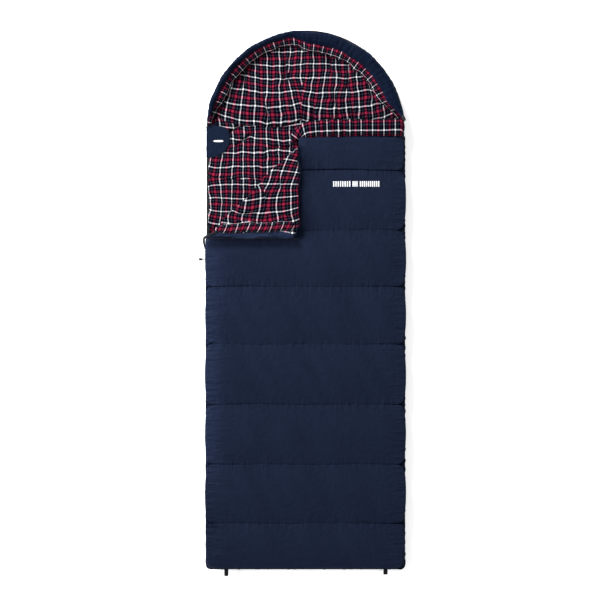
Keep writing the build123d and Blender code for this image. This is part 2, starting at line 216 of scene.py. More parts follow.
def settle(points, free, swell, floor, ceiling, steps, bend=0.25):
    """Cloth cut larger than the space it is sewn into puffs up and gathers at its seams.

    points is rows by columns by 3, and free is False where the cloth is sewn down. swell is how much
    longer the cloth is than its space. The filling and the cloth's neighbours keep it between floor and
    ceiling. bend is how stiffly it bends."""
    pressure, drag, shear = 0.0004, 0.90, 0.35
    cloth, before = points.copy(), points.copy()
    free = free[..., None].astype(float)
    across = np.linalg.norm(np.diff(points[..., :2], axis=1), axis=-1).mean() * (1 + swell)
    along = np.linalg.norm(np.diff(points[..., :2], axis=0), axis=-1).mean() * (1 + swell)
    for _ in range(steps):
        du, dv = np.zeros_like(cloth), np.zeros_like(cloth)
        du[:, 1:-1] = cloth[:, 2:] - cloth[:, :-2]
        dv[1:-1] = cloth[2:] - cloth[:-2]
        step = (cloth - before) * drag + unit(np.cross(du, dv)) * pressure
        before = cloth.copy()
        cloth += step * free
        hold_threads(cloth, free, across, along, 0.9, 1)
        hold_bias(cloth, free, math.hypot(across, along), shear)
        hold_threads(cloth, free, 2 * across, 2 * along, bend, 2)
        limited = np.clip(cloth[..., 2], floor, ceiling)
        cloth[..., 2] += (limited - cloth[..., 2]) * free[..., 0]
    return cloth


# --- meshes ---
def make_piece(name, points, faces, materials, uv=None, slots=None, marks=None):
    """A smooth mesh object. uv is each point's place on the flat cloth in metres, marks are named
    values for each point."""
    mesh = bpy.data.meshes.new(name)
    mesh.from_pydata(np.asarray(points).reshape(-1, 3).tolist(), [], faces)
    for material in materials:
        mesh.materials.append(material)
    if slots is not None:
        mesh.polygons.foreach_set("material_index", np.asarray(slots, np.int32))
    mesh.polygons.foreach_set("use_smooth", np.ones(len(faces), bool))
    if uv is not None:
        corner = np.zeros(len(mesh.loops), np.int32)
        mesh.loops.foreach_get("vertex_index", corner)
        layer = mesh.uv_layers.new(name="cloth")
        layer.data.foreach_set("uv", np.asarray(uv, float).reshape(-1, 2)[corner].ravel())
    for mark, values in (marks or {}).items():
        attribute = mesh.attributes.new(mark, "FLOAT", "POINT")
        attribute.data.foreach_set("value", np.asarray(values, np.float32).ravel())
    mesh.update()
    piece = bpy.data.objects.new(name, mesh)
    scene.collection.objects.link(piece)
    return piece


def show(piece, body, slot, *nodes, fill=None):
    """Rides a piece on its body and hides the CAD nodes that it stands for."""
    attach(piece, body)
    if nodes:
        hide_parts(*nodes)
    return piece


def plan_faces(inside):
    """Quads of a grid of points where every corner is inside, and a triangle where three are."""
    rows, columns = inside.shape
    number = np.arange(rows * columns).reshape(rows, columns)
    faces = []
    for j in range(rows - 1):
        for i in range(columns - 1):
            ring = ((j, i), (j, i + 1), (j + 1, i + 1), (j + 1, i))
            kept = [int(number[corner]) for corner in ring if inside[corner]]
            if len(kept) >= 3:
                faces.append(kept)
    return faces


def boundary_edges(faces):
    """The directed edges that only one face uses."""
    used = {edge for face in faces for edge in zip(face, face[1:] + face[:1])}
    return sorted(edge for edge in used if edge[::-1] not in used)


def closed_quilt(name, top, bottom, inside, materials, bulge=0.0, rows=3, uv=None, marks=None, wrapped=None):
    """Closes an upper and a lower sheet of the same plan with a rounded wall round their edge.

    materials are for the top, the wall and the bottom. The wall's cloth also covers the top where wrapped is
    True."""
    faces = plan_faces(inside)
    covered = [wrapped is not None and bool(wrapped.ravel()[face].any()) for face in faces]
    used = np.unique([v for face in faces for v in face])
    order = {int(v): k for k, v in enumerate(used)}
    faces = [[order[v] for v in face] for face in faces]
    top, bottom = top.reshape(-1, 3)[used], bottom.reshape(-1, 3)[used]
    count = len(used)
    edges = boundary_edges(faces)
    outward = np.zeros((count, 2))
    for a, b in edges:
        along = top[b, :2] - top[a, :2]
        side = unit(np.array([along[1], -along[0]]))
        outward[a] += side
        outward[b] += side
    outward = unit(outward)
    rim = sorted({v for edge in edges for v in edge})
    place = {v: k for k, v in enumerate(rim)}
    points = [top, bottom]
    for row in range(1, rows):
        share = row / rows
        level = top[rim] * (1 - share) + bottom[rim] * share
        level[:, :2] += outward[rim] * bulge * math.sin(math.pi * share)
        points.append(level)

    def number(v, row):
        if row == 0:
            return v
        if row == rows:
            return count + v
        return 2 * count + (row - 1) * len(rim) + place[v]

    walls = [[number(b, row), number(a, row), number(a, row + 1), number(b, row + 1)]
             for a, b in edges for row in range(rows)]
    under = [[count + v for v in reversed(face)] for face in faces]
    slots = [int(cover) for cover in covered] + [1] * len(walls) + [2] * len(under)

    def spread(values):
        flat = np.asarray(values, float).reshape(inside.size, -1)[used]
        return np.concatenate([flat, flat] + [flat[rim]] * (rows - 1))

    points = np.concatenate(points)
    flat_uv = points[:, :2] if uv is None else spread(uv)
    marks = {mark: spread(values) for mark, values in (marks or {}).items()}
    return make_piece(name, points, faces + walls + under, materials, flat_uv, slots, marks)


def tube(name, rings, material, uv=None, endless=False):
    """Joins rings of equal size into a tube, closed by its two ends or, if endless, by joining them."""
    rings = np.asarray(rings, float)
    count, size = rings.shape[:2]
    k, i = np.meshgrid(np.arange(count if endless else count - 1), np.arange(size), indexing="ij")
    j, after = (i + 1) % size, (k + 1) % count
    quads = np.stack([k * size + i, k * size + j, after * size + j, after * size + i], -1)
    faces = quads.reshape(-1, 4).tolist()
    if not endless:
        faces.append(list(range(size - 1, -1, -1)))
        faces.append(list(range((count - 1) * size, count * size)))
    return make_piece(name, rings, faces, [material], uv)


def run_lengths(path):
    """Length along a path at each of its points."""
    return np.concatenate([[0], np.cumsum(np.linalg.norm(np.diff(path, axis=0), axis=1))])


def sampled(path, run, at):
    """Values given along a path, at other lengths along it."""
    return points_at(*(np.interp(at, run, path[:, k]) for k in range(3)))


def resampled(path, spacing):
    """The same path with even points."""
    path = np.asarray(path, float)
    run = run_lengths(path)
    return sampled(path, run, np.linspace(0, run[-1], max(3, int(run[-1] / spacing))))


def eased(path, rounds=4):
    """Rounds a path's corners by cutting them, keeping both ends."""
    path = np.asarray(path, float)
    for _ in range(rounds):
        first = path[:-1] * 0.75 + path[1:] * 0.25
        second = path[:-1] * 0.25 + path[1:] * 0.75
        middle = np.stack([first, second], 1).reshape(-1, 3)
        path = np.concatenate([path[:1], middle[1:-1], path[-1:]])
    return path


def directions(path):
    """Side and upright directions at each point of a path."""
    forward = unit(np.gradient(path, axis=0))
    side = unit(np.cross(forward, (0.0, 0.0, 1.0)))
    return side, np.cross(side, forward)


def around_section(size, width_power=1.0, height_power=1.0):
    """A closed section as two rows of numbers from -1 to 1; powers below 1 make it squarer."""
    angle = np.arange(size) / size * math.tau
    across, rise = np.cos(angle), np.sin(angle)
    return np.sign(across) * np.abs(across) ** width_power, np.sign(rise) * np.abs(rise) ** height_power


def swept(path, out, lift):
    """Rings round a path, from each ring's sideways and upward offsets."""
    side, upright = directions(path)
    return path[:, None] + side[:, None] * out[..., None] + upright[:, None] * lift[..., None]


def rolled_pad(name, path, half_width, half_height, material, size=40, powers=(0.8, 0.8), crumple=0.0, seed=0,
               end_round=0.001):
    """A soft roll along a path, its half width and half height given at each point."""
    across, rise = around_section(size, *powers)
    run = run_lengths(path)
    around = np.arange(size) / size
    dome = quarter_round(np.minimum(run, run[-1] - run) + 0.003 * end_round, end_round)
    noise = crumple * waves(run[:, None], 0.05 * around, 0.045, seed) * dome[:, None]
    half_width, half_height = (dome * half_width)[:, None], (dome * half_height)[:, None]
    rings = swept(path, across * (half_width + noise), rise * (half_height + noise * (rise > 0)))
    girth = 2.6 * (half_width + half_height)
    return tube(name, rings, material, points_at(run[:, None] + CHECK / 8, around * girth))


def ribbon(name, lower, upper):
    """The zip's flat tape between two edges."""
    middle = (lower + upper) / 2
    face = unit(np.cross(np.gradient(middle, axis=0), upper - lower)) * TAPE_THICK / 2
    rows = ((0.0, 0.4), (0.25, 1.0), (0.5, 1.0), (0.75, 1.0), (1.0, 0.4))  # shares of width and thickness
    around = list(rows) + [(share, -thick) for share, thick in rows[::-1]]
    rings = np.stack([lower * (1 - share) + upper * share + face * thick for share, thick in around], 1)
    width = np.linalg.norm(upper - lower, axis=1).mean()
    uv = points_at(run_lengths(middle)[:, None], [share * width for share, _ in around])
    return tube(name, rings, TAPE, uv)


def zip_coil(name, path, out):
    """A zip's coil: a helix round the path. out is the direction of the teeth at each point."""
    pitch, teeth_reach, side_reach, wire = 0.0020, 0.0014, 0.00125, 0.00042
    run = run_lengths(path)
    turn = np.arange(0, run[-1] / pitch, 1 / 7) * math.tau
    at = turn / math.tau * pitch
    centre = sampled(path, run, at)
    side = unit(sampled(out, run, at))
    forward = unit(np.gradient(centre, axis=0))
    other = np.cross(forward, side)
    cosine, sine = np.cos(turn)[:, None], np.sin(turn)[:, None]
    line = centre + side * cosine * teeth_reach + other * sine * side_reach
    radial = side * cosine + other * sine
    rings = np.stack([line + offset * wire for offset in (radial, forward, -radial, -forward)], 1)
    return tube(name, rings, COIL)


def stitches(name, lines, material):
    """Short raised stitches along lines of points, as one piece."""
    length, gap, radius, size = 0.0034, 0.0016, 0.0005, 5
    profile = ((0, 0.35, -0.4), (0.25, 1, 0.6), (0.75, 1, 0.6), (1, 0.35, -0.4))  # place, thickness and lift
    across, rise = around_section(size)
    points, faces = [], []
    for line in lines:
        run = run_lengths(line)
        side, upright = directions(line)
        starts = np.arange(0, run[-1] - length, length + gap)
        rings = []
        for share, swell, lift in profile:
            at = starts + share * length
            middle, out, up = (sampled(values, run, at)[:, None] for values in (line, side, upright))
            section = out * (across * swell)[:, None] + up * (rise * swell + lift)[:, None]
            rings.append(middle + section * radius)
        for stitch in np.stack(rings, 1):
            base = len(points) * len(profile) * size
            points.append(stitch)
            for first in range(base, base + 3 * size, size):
                for i in range(size):
                    j = (i + 1) % size
                    faces.append([first + i, first + j, first + size + j, first + size + i])
            faces.append([base + i for i in reversed(range(size))])
            faces.append([base + 3 * size + i for i in range(size)])
    return make_piece(name, points, faces, [material])


# --- materials ---
class Finish:
    """A material's node tree, with short ways to add to it."""

    def __init__(self, name, roughness, specular=0.3, sheen=0.0, metallic=0.0, on_cloth=False):
        self.material = bpy.data.materials.new(name)
        self.material.use_nodes = True
        self.tree = self.material.node_tree
        self.shader = self.tree.nodes["Principled BSDF"]
        self.set("Roughness", roughness)
        self.set("Specular IOR Level", specular)
        self.set("Sheen Weight", sheen)
        self.set("Metallic", metallic)
        if on_cloth:
            self.place = self.node("UVMap", {"uv_map": "cloth"}).outputs["UV"]
        else:
            self.place = self.node("TexCoord").outputs["Object"]

    def set(self, socket, value):
        self.shader.inputs[socket].default_value = value

    def feed(self, socket, value):
        if isinstance(value, (int, float, tuple)):
            socket.default_value = value
        else:
            self.tree.links.new(value, socket)

    def node(self, kind, settings=None, inputs=None):
        """A new node. Its inputs are numbers, colours, or other nodes' outputs."""
        node = self.tree.nodes.new("ShaderNode" + kind)
        for setting, value in (settings or {}).items():
            setattr(node, setting, value)
        for socket, value in (inputs or {}).items():
            self.feed(node.inputs[socket], value)
        return node

    def math(self, operation, a, b=0.0):
        return self.node("Math", {"operation": operation}, {0: a, 1: b}).outputs[0]

    def times(self, a, b):
        return self.math("MULTIPLY", a, b)

    def plus(self, a, b):
        return self.math("ADD", a, b)

    def noise(self, scale, detail, roughness, stretch=None):
        place = self.place
        if stretch is not None:
            place = self.node("Mapping", None, {"Scale": stretch, "Vector": place}).outputs["Vector"]
        inputs = {"Scale": scale, "Detail": detail, "Roughness": roughness, "Vector": place}
        return self.node("TexNoise", None, inputs).outputs["Fac"]

    def mark(self, name):
        """A value that make_piece gave each point of the mesh."""
        return self.node("Attribute", {"attribute_name": name}).outputs["Fac"]

    def mix(self, factor, a, b, blend="MIX"):
        settings = {"data_type": "RGBA", "blend_type": blend}
        return self.node("Mix", settings, {"Factor": factor, "A": a, "B": b}).outputs["Result"]

    def ramp(self, value, stops):
        node = self.node("ValToRGB", None, {"Fac": value})
        elements = node.color_ramp.elements
        elements[0].position, elements[0].color = stops[0][0], stops[0][1] + (1,)
        elements[1].position, elements[1].color = stops[-1][0], stops[-1][1] + (1,)
        for place, colour in stops[1:-1]:
            elements.new(place).color = colour + (1,)
        return node.outputs["Color"]

    def split(self, value):
        return self.node("SeparateXYZ", None, {0: value}).outputs

    def gamma(self, colour, power):
        return self.node("Gamma", None, {"Gamma": power, "Color": colour}).outputs["Color"]

    def two_tone(self, factor, colour, spread):
        dark, light = (tuple(c * (1 + change) for c in colour) + (1,) for change in (-spread, spread))
        return self.mix(factor, dark, light)

    def colour(self, value):
        self.feed(self.shader.inputs["Base Color"], value)

    def bump(self, height, distance, strength=1.0):
        node = self.node("Bump", None, {"Distance": distance, "Strength": strength, "Height": height})
        self.feed(self.shader.inputs["Normal"], node.outputs["Normal"])


def shell_cloth(name, colour, mottle=0.16):
    """Fine plain-weave polyester: small crinkles, gathers beside the seams, and a soft sheen.

    The marks by_seam and by_edge are 1 where each applies, and 0 elsewhere; so are the mark that paints dark
    shade along the seam lines and the mark that paints a lighter highlight near the left edge."""
    f = Finish(name, 0.55, specular=0.035, sheen=0.10)
    f.set("Sheen Tint", (0.14, 0.26, 0.70, 1))
    f.set("Specular Tint", (0.45, 0.62, 1.0, 1))
    thread = f.noise(900, 1, 0.5)
    tone = f.two_tone(f.noise(7, 3, 0.6), colour, mottle)
    cloth = f.mix(0.10, tone, f.two_tone(thread, colour, 0.9))
    # painted highlight: the cloth is lightened where marked, along the left edge towards the foot, standing
    # in for light from the left
    painted_highlight = f.mix(f.times(f.mark("painted_highlight"), 0.55), cloth, tuple(2.3 * c for c in colour) + (1,))
    # painted shade: the seam lines are darkened almost to black, standing in for the shadow in the seams'
    # valleys
    f.colour(f.mix(f.times(f.mark("painted_seam_shade"), 0.93), painted_highlight, (0.0004, 0.0006, 0.0014, 1)))
    crinkle = f.noise(48, 5, 0.65)
    across = f.times(f.noise(1, 3, 0.6, (75, 9, 9)), f.mark("by_seam"))
    along = f.times(f.noise(1, 3, 0.6, (9, 60, 9)), f.mark("by_edge"))
    gathers = f.plus(f.times(across, 4.2), f.times(along, 8.0))
    f.bump(f.plus(f.plus(gathers, crinkle), f.times(thread, 0.06)), 0.0055, 1.0)
    return f.material


def sett(f, position):
    """The colours of one set of the tartan's threads: centres and half widths are shares of the repeat."""
    soft = 0.010  # a stripe's blurred edge
    stops = []
    for centre, half, colour in ((0.0, 0.043, WHITE), (0.25, 0.026, GREY), (0.5, 0.090, RED),
                                 (0.75, 0.026, GREY), (1.0, 0.043, WHITE)):
        stops += [(centre - half - soft, BLACK), (centre - half + soft, colour),
                  (centre + half - soft, colour), (centre + half + soft, BLACK)]
    stops = [stop for stop in stops if 0 < stop[0] < 1]
    return f.ramp(f.math("FRACT", f.times(position, 1 / CHECK)), [(0.0, WHITE)] + stops + [(1.0, WHITE)])


def tartan_flannel():
    """Brushed cotton flannel in a twill: where two threads cross, both show, and like colours stand out."""
    f = Finish("tartan_flannel", 0.95, specular=0.0, on_cloth=True)
    u, v, _ = f.split(f.place)
    twill = f.math("SINE", f.times(f.plus(u, v), math.tau / 0.0022))
    share = f.plus(f.times(twill, 0.14), 0.5)
    cloth = f.gamma(f.mix(share, sett(f, u), sett(f, v)), 2.8)
    nap = f.noise(650, 3, 0.7)
    f.colour(f.mix(0.22, cloth, f.ramp(nap, [(0.25, (0.15,) * 3), (0.75, (0.85,) * 3)]), "OVERLAY"))
    f.bump(f.plus(f.times(twill, 0.3), nap), 0.0005, 0.6)
    return f.material


def woven(name, colour, pitch, on_cloth=False, roughness=0.8):
    """A narrow tape or braid with a small square weave."""
    f = Finish(name, roughness, specular=0.15, sheen=0.05, on_cloth=on_cloth)
    u, v, w = f.split(f.place)
    across = f.math("SINE", f.times(f.plus(u, w), math.tau / pitch))
    along = f.math("SINE", f.times(v, math.tau / pitch))
    weave = f.times(across, along)
    f.colour(f.two_tone(f.plus(f.times(weave, 0.35), 0.5), colour, 0.45))
    f.bump(weave, 0.0004, 0.8)
    return f.material


def moulded(name, colour, roughness, metallic=0.0, specular=0.4):
    """Moulded plastic, enamel or metal, with a fine grain and a slightly uneven tone and gloss."""
    f = Finish(name, roughness, specular=specular, metallic=metallic)
    grain = f.noise(900, 3, 0.6)
    f.colour(f.two_tone(f.noise(160, 2, 0.5), colour, 0.25))
    f.feed(f.shader.inputs["Roughness"], f.plus(f.times(grain, 0.25), roughness - 0.12))
    f.bump(grain, 0.0002, 0.5)
    return f.material


NAVY = shell_cloth("navy_shell", (0.0064, 0.0095, 0.0215))
RIM_NAVY = shell_cloth("navy_rim", (0.0024, 0.0046, 0.0125))
PATCH_NAVY = shell_cloth("navy_patch", (0.0040, 0.0072, 0.0170), 0.08)
TARTAN = tartan_flannel()
TAPE = woven("zip_tape_weave", (0.006, 0.0065, 0.010), 0.0016, on_cloth=True)
WEBBING = woven("webbing_weave", (0.006, 0.006, 0.007), 0.0026)
CORD = woven("cord_braid", (0.007, 0.007, 0.008), 0.0018)
COIL = moulded("nylon_coil", (0.007, 0.0075, 0.010), 0.42, specular=0.25)
ENAMEL = moulded("black_enamel", (0.008, 0.008, 0.009), 0.4, specular=0.15)
GRIP = moulded("soft_grip", (0.008, 0.008, 0.009), 0.6, specular=0.12)
LOCK = moulded("lock_acetal", (0.007, 0.007, 0.008), 0.45, specular=0.3)
STEEL = moulded("spring_steel", (0.55, 0.55, 0.56), 0.3, metallic=1.0)
MARK_THREAD = woven("white_thread", (0.70, 0.70, 0.69), 0.0011, roughness=0.6)
PRINT = moulded("white_print", (0.62, 0.63, 0.65), 0.6, specular=0.15)
STITCH = moulded("navy_thread", (0.0030, 0.0052, 0.0120), 0.7, specular=0.1)
TARTAN_STITCH = moulded("black_thread", (0.009, 0.009, 0.013), 0.7, specular=0.1)


# --- the front's cloth, laid shut ---
def tucks(x, y, folds):
    """Small folds where the lining doubles under itself: its drop, and how far its weave is drawn in."""
    drop, pulled = np.zeros(x.shape), np.zeros(x.shape + (2,))
    for number, (x0, y0, x1, y1, taken) in enumerate(folds):
        length = math.hypot(x1 - x0, y1 - y0)
        tx, ty = (x1 - x0) / length, (y1 - y0) / length
        along = (x - x0) * tx + (y - y0) * ty
        off = (y - y0) * tx - (x - x0) * ty + 0.0035 * ripple(along, 0.09, 300 + number)
        held = smooth(along, -0.010, 0.030) * smooth(along, length + 0.010, length - 0.030)
        groove, ridge = 0.0100 * bump_at(off, 0.0045), 0.0050 * bump_at(off - 0.013, 0.008)
        drop += held * (groove - ridge)
        spread = held * taken * (smooth(off, -0.0025, 0.0025) - 0.5) * np.exp(-np.abs(off) / 0.05)
        pulled += spread[..., None] * (-ty, tx)
    return drop, pulled


def foot_limit(y, half):
    """Half width near the rounded foot corners."""
    rise = np.clip(y - FOOT_Y, 0, FOOT_ROUND)
    return half - FOOT_ROUND + np.sqrt(np.maximum(FOOT_ROUND ** 2 - (FOOT_ROUND - rise) ** 2, 0))


def low_ground(x, y):
    """1 where the turned corner lies over the front, and on the corner itself."""
    near, clear = 0.002, 0.035
    return smooth(x, FLAP_X + clear, FLAP_X + near) * smooth(y, FOLD_Y - clear, FOLD_Y - near)


def front_cloth():
    """The navy face of the whole front with its corner shut, before it is turned open."""
    xs = np.linspace(-HALF, HALF, int(round(2 * HALF / CELL)) + 1)
    rows = int(round((FOLD_Y - FOOT_Y) / CELL))
    above = math.floor((front_high.y - FOLD_Y) / CELL + 0.1)
    ys = np.concatenate([FOLD_Y + CELL * np.arange(-rows, above), [front_high.y]])
    x, y = np.meshgrid(xs, ys)
    to_seam = distance_to(y, FRONT_SEAMS)
    to_side = HALF - np.abs(x)
    to_edge = np.minimum(to_side, y - FOOT_Y)
    by_seam, by_edge = np.exp(-to_seam / 0.022), np.exp(-to_side / 0.045)
    puff = 0.40 * (1 - np.exp(-to_seam / 0.0045)) + 0.60 * (1 - np.exp(-((to_seam / 0.055) ** 1.3)))
    crest = SEAM_Z + (CREST_Z - SEAM_Z) * puff + 0.003 * waves(x, y, 0.30, 11)
    across = 0.0026 * by_seam * waves(x, 0.18 * y, 0.034, 12)
    along = 0.0036 * by_edge * waves(0.18 * x, y, 0.045, 13)
    crest += across + along + 0.0024 * puff * waves(x + 0.7 * y, 0.35 * y, 0.10, 14)
    limit = FOLD_Z - 0.0015
    crest += (soft_min(crest, limit, 0.004) - crest) * low_ground(x, y)
    slope = np.sin(np.clip((to_edge - LIP) / 0.125, 0, 1) * math.pi / 2)
    edge = 0.42 * quarter_round(to_edge - LIP, 0.030) + 0.58 * slope
    head = quarter_round(front_high.y - y, 0.030)
    z = EDGE_Z + (crest - EDGE_Z) * edge * (0.4 + 0.6 * head)
    z += (FOLD_Z - z) * smooth(np.abs(fold_distance(x, y)), 0.030, 0.0) * low_ground(x, y) * edge
    wander, seam_rows = np.zeros(x.shape), np.zeros(x.shape, bool)
    for number, seam in enumerate(FRONT_SEAMS):
        wander += 0.0040 * ripple(x, 0.35, 40 + number) * bump_at(y - seam, 0.07)
        seam_rows[nearest(ys, seam)] = True
    fade = smooth(np.abs(fold_distance(x, y)), 0.02, 0.10) * smooth(to_edge, 0.0, 0.04)
    top = points_at(x * foot_limit(y, HALF - 0.0004) / HALF, y + wander * fade, z)
    on_fold = (np.abs(fold_distance(x, y)) < CELL / 4) & (x < FLAP_X + CELL / 4)
    beside_seam = seam_rows.copy()
    beside_seam[1:] |= seam_rows[:-1]
    beside_seam[:-1] |= seam_rows[1:]
    free = (to_edge > 2.5 * LIP) & ~beside_seam & ~on_fold  # the rest is sewn down
    free[-1] = False
    floor = np.minimum(top[..., 2] - 0.007, SEAM_Z)
    ceiling = np.minimum(np.maximum(top[..., 2] + 0.004, SEAM_Z + 0.005), limit + (1 - low_ground(x, y)))
    top = settle(top, free, 0.050, floor, ceiling, 170)
    marks = {
        "by_seam": by_seam, "by_edge": by_edge,
        # painted shade along each cross seam, weaker near the sides
        "painted_seam_shade": bump_at(to_seam, 0.0072) * (0.25 + 0.75 * smooth(to_side, 0.0, 0.050)),
        # painted highlight along the left edge towards the foot
        "painted_highlight": smooth(x, -0.335, -0.425) * smooth(y, -1.00, -0.62),
    }
    return xs, ys, top, seam_rows, marks


def front_quilt(xs, ys, top, marks):
    """The part of the front that stays put, rolled down to its lining at the fold."""
    x, y = np.meshgrid(xs, ys)
    step = CELL / 4
    beside = (y < FLAP_Y + step) | (x < FLAP_X + step)
    inside = (fold_distance(x, y) > -step) | ~((y < FLAP_Y - step) | (x < FLAP_X - step))
    roll = FOLD_Z - LOFT * quarter_round(fold_distance(x, y), LOFT)
    bottom = top.copy()
    bottom[..., 2] = np.where(beside, np.maximum(roll, front_low.z), front_low.z)
    bottom[..., 2] = np.minimum(bottom[..., 2], top[..., 2] - 0.0004)
    cloths = [NAVY, NAVY, TARTAN]
    piece = closed_quilt("front_quilt", top, bottom, inside, cloths, uv=points_at(x, y), marks=marks)
    show(piece, "bag", "shell", "front_shell", "front_fill", "front_lining", fill=0.6)


FLAP_TUCKS = (  # from x, y to x, y, and the cloth that each fold takes in
    (-0.190, 0.500, -0.168, 0.390, 0.020), (-0.300, 0.372, -0.215, 0.400, 0.012),
    (-0.110, 0.600, -0.092, 0.470, 0.014), (-0.120, 0.400, -0.050, 0.372, 0.010),
)


def flap_quilt(xs, ys, shut, marks):
    """The corner turned open: its navy face underneath, and its tartan lining simulated on top."""
    corner = slice(nearest(ys, FOLD_Y), nearest(ys, FLAP_Y) + 1), slice(nearest(xs, FLAP_X) + 1)
    below = finer(turned_open(shut[corner]).transpose(1, 0, 2))
    marks = {name: finer(values[corner].T) for name, values in marks.items()}
    rows, columns = below.shape[:2]
    x, y = np.meshgrid(np.linspace(-HALF, FLAP_X, columns), np.linspace(FOLD_Y, FLAP_Y, rows))
    away = fold_distance(x, y)
    inside = away > -CELL / 8
    full = flap_high.z + 0.003
    crease_x = FRONT_SEAMS[-1] - FOLD_SHIFT - 0.018 + 0.030 * (y - 0.45)
    crease = 0.5 * bump_at(x - crease_x, 0.009) * smooth(y, 0.53, 0.46) + 0.4 * bump_at(x - crease_x, 0.030)
    crease = crease * smooth(y, FOLD_Y + 0.035, FOLD_Y + 0.075)
    drop, pulled = tucks(x, y, FLAP_TUCKS)
    edges = np.minimum(quarter_round(FLAP_X - x + 0.004, 0.022), quarter_round(y - FOLD_Y + 0.004, 0.022))
    beside_tube = bump_at(y - TUBE_EDGE_Y - 0.027, 0.007)
    crest = full - 0.008 * crease - 0.004 * beside_tube + 0.0035 * waves(x, 0.6 * y, 0.11, 21)
    crest = (flap_low.z + 0.026) + (crest - flap_low.z - 0.026) * edges
    z = FOLD_Z + (crest - FOLD_Z) * quarter_round(away, LOFT)
    swing = (0.006 * ripple(y, 0.16, 22) - 0.015 * smooth(y, 0.345, 0.320)) * smooth(x, -0.17, FLAP_X)
    sag = 0.004 * ripple(x, 0.21, 23) * smooth(y, FOLD_Y + 0.10, FOLD_Y)
    fade = smooth(away, 0.0, 0.05)
    shift = points_at(swing * fade, sag * fade, 0)
    bulge = (0.008 + 0.005 * ripple(x + y, 0.10, 25)) * np.sin(math.pi * np.clip(away / LOFT, 0, 1)) ** 2
    top = points_at(x - bulge * 0.7, y + bulge * 0.7, z) + shift
    below = below + shift
    free = inside & (away > 0.014) & (y > FOLD_Y + 0.004) & (x < FLAP_X - 0.004)
    free[-1] = free[:, -1] = free[0] = False
    top[..., 2] += free * 0.0012 * waves(x, y, 0.030, 24)
    ceiling = np.minimum(top[..., 2] + 0.006, full + 0.003)
    top = settle(top, free, 0.085, top[..., 2] - 0.010, ceiling, 170, bend=0.12)
    top[..., 2] -= 0.5 * drop * smooth(away, 0.020, 0.050)
    top[..., 2] = np.maximum(top[..., 2], below[..., 2] + 0.0030)
    rolled = np.clip(away / LOFT, 0, 1)
    spread = LOFT * (np.arccos(1 - rolled) - rolled - math.pi / 2 + 1)  # cloth that goes round the roll
    skew = 0.13 * (x + 0.25) * smooth(x, -0.40, -0.25)
    lean = 0.22 * (y - 0.40) * bump_at(away, 0.10)
    uv = points_at(x + spread * 0.7 - lean + 0.012, y - spread * 0.7 - skew + 0.021) + pulled
    piece = closed_quilt("flap_quilt", top, below, inside, [TARTAN, NAVY, NAVY], uv=uv, marks=marks,
                         wrapped=y < FOLD_Y + 0.019 + 0.010 * smooth(x, -HALF, FLAP_X))
    show(piece, "corner_flap", "lining", "flap_lining", "flap_fill", "flap_shell", fill=0.5)
    return Surface(top, inside)


# --- back of the bag and the hood's floor ---
FLOOR_TUCKS = (
    (0.097, 1.122, 0.124, 1.029, 0.016), (0.047, 0.930, 0.075, 0.787, 0.020),
    (-0.272, 1.065, -0.277, 0.970, 0.014), (-0.376, 0.985, -0.393, 0.850, 0.016),
    (-0.030, 0.945, 0.012, 0.850, 0.014), (-0.200, 0.822, 0.080, 0.838, 0.024),
    (0.130, 0.985, 0.152, 0.886, 0.012), (0.262, 1.062, 0.300, 0.925, 0.016),
    (-0.180, 0.672, -0.050, 0.692, 0.018), (-0.354, 0.728, -0.262, 0.780, 0.016),
    (-0.321, 0.684, -0.228, 0.743, 0.014), (-0.435, 0.560, -0.300, 0.548, 0.014),
    (-0.090, 1.110, -0.104, 0.990, 0.012), (-0.190, 0.960, -0.165, 0.860, 0.014),
    (0.200, 0.930, 0.226, 0.842, 0.014),
)


